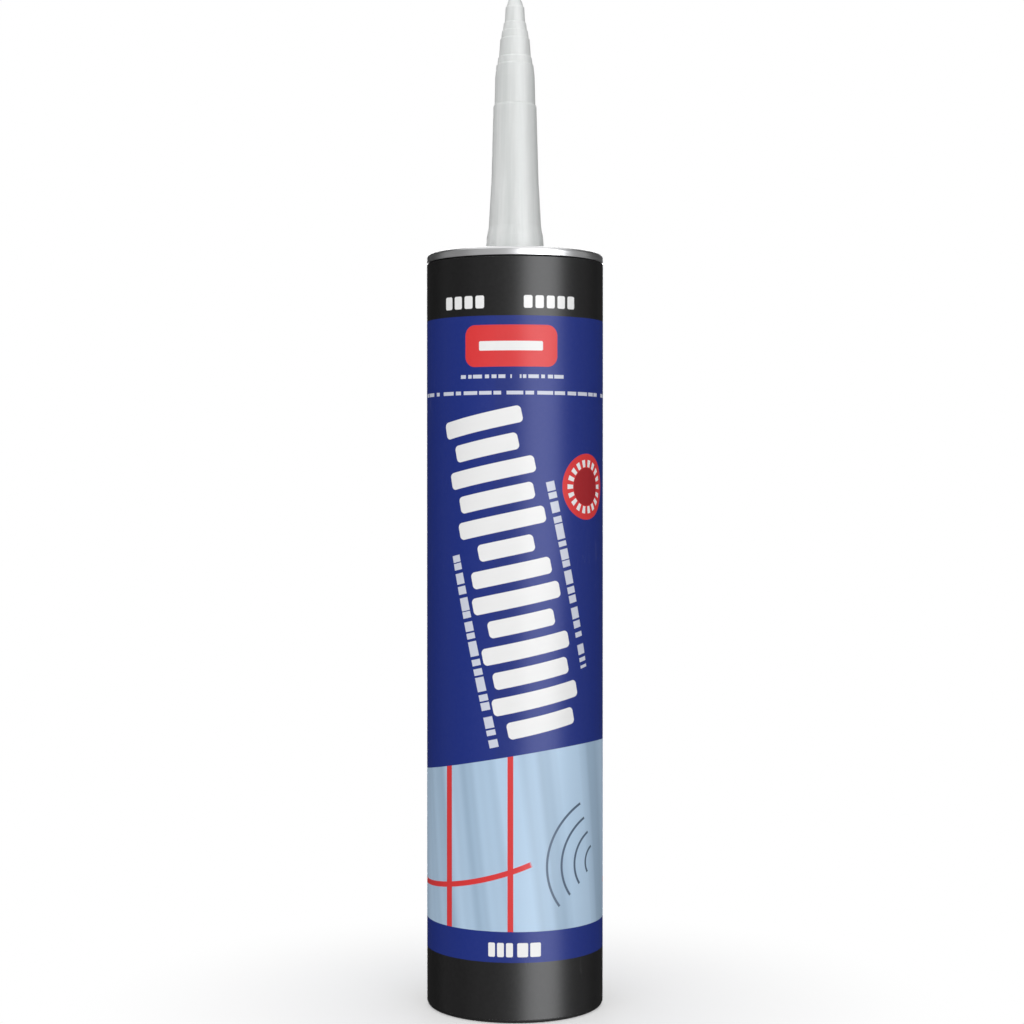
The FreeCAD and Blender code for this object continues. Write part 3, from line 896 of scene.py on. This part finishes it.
tinplate, tree, shader = new_finish("bright_tinplate", Metallic=1.0)
place = add(tree, "TexCoord").outputs["Object"]
flat = sized(tree, place, 1.0, 1.0, 0.0)
outward = add(tree, "VectorMath", {0: flat}, operation="LENGTH").outputs["Value"]
height = add(tree, "SeparateXYZ", {0: place}).outputs["Z"]
turned_place = add(tree, "CombineXYZ", {"X": outward, "Y": height}).outputs[0]
roll_marks = cloud(tree, turned_place, 5200.0, 3.0, 0.6)
haze = cloud(tree, place, 90.0, 2.0)
tone = blend(tree, (0.85, 0.85, 0.855, 1), ramp(tree, haze, 0.35, 0.7), (0.80, 0.80, 0.81, 1))
marks = use(tree, handling_marks, {"Place": place, "Scale": 170.0, "Amount": 0.07})[0]
tone = blend(tree, tone, marks, (0.5, 0.5, 0.51, 1))
join(tree, tone, shader, "Base Color")
dull = ramp(tree, haze, 0.3, 0.7, 0.27, 0.33)
dull = calc(tree, "ADD", dull, calc(tree, "MULTIPLY", marks, 0.3))
join(tree, dull, shader, "Roughness")
bumped(tree, shader, roll_marks, 0.0025)

end_shape = turned(
    [
        (HEM_INSIDE, SEAM_FOOT),
        (LABEL_OUTSIDE, SEAM_FOOT),
        (LABEL_OUTSIDE, ROLL_MIDDLE - ROLL_BELOW),
        (LABEL_OUTSIDE - ROLL_WAIST, ROLL_MIDDLE),
        (LABEL_OUTSIDE, ROLL_MIDDLE + ROLL_ABOVE),
        (LABEL_OUTSIDE, RIM_TOP),
        (CHUCK_INSIDE, RIM_TOP),
        (CHUCK_INSIDE, PANEL_TOP),
        (BEAD + BEAD_HALF, PANEL_TOP),
        (BEAD, PANEL_TOP - BEAD_DEPTH),
        (BEAD - BEAD_HALF, PANEL_TOP),
        (STEP, PANEL_TOP),
        (STEP, CENTRE_TOP),
        (COLLAR_OUTSIDE, CENTRE_TOP),
        (COLLAR_OUTSIDE, COLLAR_TOP),
        (COLLAR_INSIDE, COLLAR_TOP),
        (COLLAR_INSIDE, CENTRE_UNDERSIDE),
        (STEP - PLATE, CENTRE_UNDERSIDE),
        (STEP - PLATE, PANEL_UNDERSIDE),
        (CHUCK_OUTSIDE, PANEL_UNDERSIDE),
        (CHUCK_OUTSIDE, CHANNEL_TOP),
        (CHANNEL, CHANNEL_TOP),
        (CHANNEL, HEM_TOP),
        (HEM_INSIDE, HEM_TOP),
    ],
    {
        0: 0.16,
        1: 0.16,
        3: 0.9,
        5: 1.1,
        6: 0.45,
        7: 0.9,
        8: 0.8,
        9: 0.9,
        10: 0.8,
        11: 0.25,
        12: 0.25,
        13: 0.25,
        14: 0.1,
        15: 0.1,
        19: 1.18,
        21: 0.82,
    },
    segments=5,
)
tinplate_end = finished("tinplate_end", end_shape, [tinplate])
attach(tinplate_end, "cartridge")
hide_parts("front_end")

# Nozzle. Injection moulded in natural polyethylene, milky and slightly clear, hollow to its
# closed tip, with steps to cut at and a parting line down each side of the mould.

NOZZLE_BASE = 209.82
NOZZLE_STATIONS = [
    (8.75, 0.0, 0.0),
    (8.0, 9.5, 3.0),
    (7.45, 12.4, 3.0),
    (6.68, 26.0, 8.0),
    (6.10, 46.8, 0.3),
    (5.78, 47.4, 0.3),
    (5.60, 55.0, 2.0),
    (5.24, 58.6, 0.15),
    (4.98, 58.9, 0.1),
    (4.74, 60.7, 0.15),
    (4.50, 61.0, 0.1),
    (4.14, 66.0, 0.15),
    (3.88, 66.3, 0.1),
    (3.64, 68.3, 0.15),
    (3.38, 68.6, 0.1),
    (3.13, 70.6, 0.15),
    (2.87, 70.9, 0.1),
    (2.62, 75.1, 0.15),
    (2.36, 75.4, 0.1),
]
NOZZLE_TOP = 78.3
NOZZLE_END = 1.4
NOZZLE_WALL = 1.1
TIP_WALL = 1.3
FLANGE = 12.5
FLANGE_THICKNESS = 1.3
PARTING_RIDGE = 0.05

nozzle_plastic, tree, shader = new_finish(
    "milky_polyethylene",
    Subsurface_Weight=0.55,
    Subsurface_Radius=(1.0, 1.0, 1.0),
    Subsurface_Scale=0.0022,
    Specular_IOR_Level=0.5,
)
place = add(tree, "TexCoord").outputs["Object"]
flow = cloud(tree, sized(tree, place, 1.0, 1.0, 0.04), 300.0, 3.0, 0.6)
haze = cloud(tree, place, 120.0, 3.0)
tone = blend(tree, (0.70, 0.725, 0.715, 1), ramp(tree, flow, 0.35, 0.65), (0.85, 0.87, 0.86, 1))
tone = blend(tree, tone, ramp(tree, haze, 0.4, 0.8, 0.0, 0.3), (0.73, 0.75, 0.745, 1))
join(tree, tone, shader, "Base Color")
marks = use(tree, handling_marks, {"Place": place, "Scale": 90.0, "Amount": 0.25})[0]
dull = calc(tree, "ADD", ramp(tree, flow, 0.3, 0.7, 0.34, 0.44), marks)
join(tree, dull, shader, "Roughness")
bumped(tree, shader, flow, 0.03)

outside = [(radius, NOZZLE_BASE + height) for radius, height, _ in NOZZLE_STATIONS]
inside = [(radius - NOZZLE_WALL, height) for radius, height in outside[:0:-1]]
nozzle_rounds = {1: 0.2, 2: 0.2, 3 + len(outside): 1.0}
for number, (_, _, rounding) in enumerate(NOZZLE_STATIONS):
    if rounding:
        nozzle_rounds[3 + number] = rounding
nozzle_shape = turned(
    [
        (outside[0][0] - NOZZLE_WALL, NOZZLE_BASE - FLANGE_THICKNESS),
        (FLANGE, NOZZLE_BASE - FLANGE_THICKNESS),
        (FLANGE, NOZZLE_BASE),
        *outside,
        (NOZZLE_END, NOZZLE_BASE + NOZZLE_TOP),
        (0.0, NOZZLE_BASE + NOZZLE_TOP),
        (0.0, NOZZLE_BASE + NOZZLE_TOP - TIP_WALL),
        *inside,
    ],
    nozzle_rounds,
    segments=3,
)
for vert in nozzle_shape.verts:
    on_line = abs(vert.co.y) < 0.01 * MM and abs(vert.co.x) > MM
    if on_line and vert.co.z > (NOZZLE_BASE + 0.5) * MM:
        vert.co.x += math.copysign(PARTING_RIDGE * MM, vert.co.x)
nozzle_spout = finished("nozzle_spout", nozzle_shape, [nozzle_plastic])
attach(nozzle_spout, "cartridge")
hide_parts("nozzle")

# Foil seal. A disc of soft aluminium foil bonded under the nozzle's flange, pierced by the
# user before the first bead.

FOIL_UNDERSIDE = 208.42
FOIL_TOP = 208.52
FOIL = 10.5

seal_foil, tree, shader = new_finish("soft_foil", Metallic=1.0)
place = add(tree, "TexCoord").outputs["Object"]
creases = cloud(tree, place, 380.0, 5.0, 0.6)
tone = blend(tree, (0.68, 0.68, 0.69, 1), creases, (0.85, 0.85, 0.86, 1))
join(tree, tone, shader, "Base Color")
join(tree, ramp(tree, creases, 0.3, 0.7, 0.18, 0.34), shader, "Roughness")
bumped(tree, shader, creases, 0.12)

foil_shape = turned(
    [(0.0, FOIL_UNDERSIDE), (FOIL, FOIL_UNDERSIDE), (FOIL, FOIL_TOP), (0.0, FOIL_TOP)],
    {1: 0.03, 2: 0.03},
    steps=96,
    segments=2,
)
foil_disc = finished("foil_disc", foil_shape, [seal_foil])
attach(foil_disc, "cartridge")
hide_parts("foil_seal")

# Plunger. A moulded polyethylene cup that wipes the bore with a lip at each end. Its back is
# open, with a hub ring and eight ribs that take the gun's rod, and the gate's nub in the middle.

PLUNGER_REAR = 19.92
PLUNGER_HEIGHT = 17.5
LIP = 23.55
RELIEF = 22.85
CUP_INSIDE = 21.35
CEILING = 15.7
LIP_HEIGHT = 1.4
LIP_RUN = 1.6
FRONT_LIP = 16.6
FACE = 20.95
RIB_FOOT = 9.7
HUB_INSIDE = 6.7
HUB = 8.0
RIB_THICKNESS = 1.2
RIB_COUNT = 8
RIB_TOP = CEILING + 0.2
RIB_INNER = HUB - 0.65
RIB_OUTER = CUP_INSIDE + 0.75
RIB_ROUND = 0.25
GATE = 0.9
GATE_FOOT = CEILING - 0.4

plunger_plastic, tree, shader = new_finish(
    "moulded_polyethylene",
    Subsurface_Weight=0.2,
    Subsurface_Radius=(1.0, 1.0, 1.0),
    Subsurface_Scale=0.0012,
    Specular_IOR_Level=0.45,
)
place = add(tree, "TexCoord").outputs["Object"]
grain = cloud(tree, place, 900.0, 4.0, 0.55)
haze = cloud(tree, place, 90.0, 3.0)
tone = blend(tree, (0.72, 0.72, 0.70, 1), ramp(tree, haze, 0.35, 0.75), (0.80, 0.80, 0.785, 1))
join(tree, tone, shader, "Base Color")
marks = use(tree, handling_marks, {"Place": place, "Scale": 110.0, "Amount": 0.25})[0]
dull = calc(tree, "ADD", ramp(tree, grain, 0.3, 0.7, 0.42, 0.54), marks)
join(tree, dull, shader, "Roughness")
bumped(tree, shader, grain, 0.015)


def raised(heights):
    """Radius and height pairs lifted from the plunger's rear edge to its place in the tube."""
    return [(radius, PLUNGER_REAR + height) for radius, height in heights]


plunger_shape = turned(
    raised(
        [
            (CUP_INSIDE, 0.0),
            (LIP, 0.0),
            (LIP, LIP_HEIGHT),
            (RELIEF, LIP_HEIGHT + LIP_RUN),
            (RELIEF, FRONT_LIP - LIP_HEIGHT - LIP_RUN),
            (LIP, FRONT_LIP - LIP_HEIGHT),
            (LIP, FRONT_LIP),
            (FACE, PLUNGER_HEIGHT),
            (0.0, PLUNGER_HEIGHT),
            (0.0, CEILING),
            (CUP_INSIDE, CEILING),
        ]
    ),
    {0: 0.3, 1: 0.2, 2: 0.3, 3: 0.8, 4: 0.8, 5: 0.3, 6: 0.2, 7: 0.8, 10: 0.8},
)
hub_shape = turned(
    raised([(HUB_INSIDE, RIB_FOOT), (HUB, RIB_FOOT), (HUB, RIB_TOP), (HUB_INSIDE, RIB_TOP)]),
    {0: 0.2, 1: 0.2},
    steps=96,
    segments=3,
)
gate_shape = turned(
    raised([(0.0, GATE_FOOT), (GATE, GATE_FOOT), (GATE + 0.2, RIB_TOP), (0.0, RIB_TOP)]),
    {1: 0.15},
    steps=32,
    segments=2,
)
take_in(plunger_shape, hub_shape)
take_in(plunger_shape, gate_shape)
for number in range(RIB_COUNT):
    rib = bmesh.ops.create_cube(plunger_shape, size=1.0)["verts"]
    size = (RIB_OUTER - RIB_INNER, RIB_THICKNESS, RIB_TOP - RIB_FOOT)
    bmesh.ops.scale(plunger_shape, vec=Vector(size) * MM, verts=rib)
    edges = [
        e
        for e in {e for v in rib for e in v.link_edges}
        if all(v.co.z < 0 for v in e.verts) and abs(e.verts[0].co.y - e.verts[1].co.y) < 1e-9
    ]
    rounded = bmesh.ops.bevel(
        plunger_shape,
        geom=edges,
        offset=RIB_ROUND * MM,
        offset_type="OFFSET",
        segments=3,
        profile=0.5,
        affect="EDGES",
        clamp_overlap=True,
        material=-1,
    )
    rib = list({v for v in rib if v.is_valid} | set(rounded["verts"]))
    rib_level = PLUNGER_REAR + (RIB_FOOT + RIB_TOP) / 2
    middle = Vector(((RIB_INNER + RIB_OUTER) / 2, 0, rib_level))
    bmesh.ops.translate(plunger_shape, vec=middle * MM, verts=rib)
    turn = Matrix.Rotation(math.tau * number / RIB_COUNT, 3, "Z")
    bmesh.ops.rotate(plunger_shape, verts=rib, cent=(0, 0, 0), matrix=turn)
cup_plunger = finished("cup_plunger", plunger_shape, [plunger_plastic])
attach(cup_plunger, "piston")
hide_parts("plunger")

# Sealant. Thick black paste that fills the bore from the plunger's face to the end. It is
# pressed out as the plunger moves.

FILL = 23.60
FILL_BOTTOM = 37.47
FILL_TOP = 208.87
FILL_CORNER = 1.18
FILL_MIDDLE = 208.37
FLANGE_ROOM = 12.55

black_paste, tree, shader = new_finish("black_paste", Specular_IOR_Level=0.5)
place = add(tree, "TexCoord").outputs["Object"]
smears = cloud(tree, sized(tree, place, 1.0, 1.0, 0.4), 160.0, 4.0)
tone = blend(tree, (0.005, 0.005, 0.0055, 1), smears, (0.012, 0.012, 0.013, 1))
join(tree, tone, shader, "Base Color")
join(tree, ramp(tree, smears, 0.3, 0.7, 0.16, 0.30), shader, "Roughness")
bumped(tree, shader, smears, 0.2)

fill_shape = turned(
    [
        (0.0, FILL_BOTTOM),
        (FILL, FILL_BOTTOM),
        (FILL, FILL_TOP - FILL_CORNER),
        (FILL - FILL_CORNER, FILL_TOP),
        (FLANGE_ROOM, FILL_TOP),
        (FLANGE_ROOM, FILL_MIDDLE),
        (0.0, FILL_MIDDLE),
    ],
    {1: 0.2},
    steps=96,
)
sealant_fill = finished("sealant_fill", fill_shape, [black_paste])
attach(sealant_fill, "cartridge")
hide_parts("sealant")
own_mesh(sealant_fill)
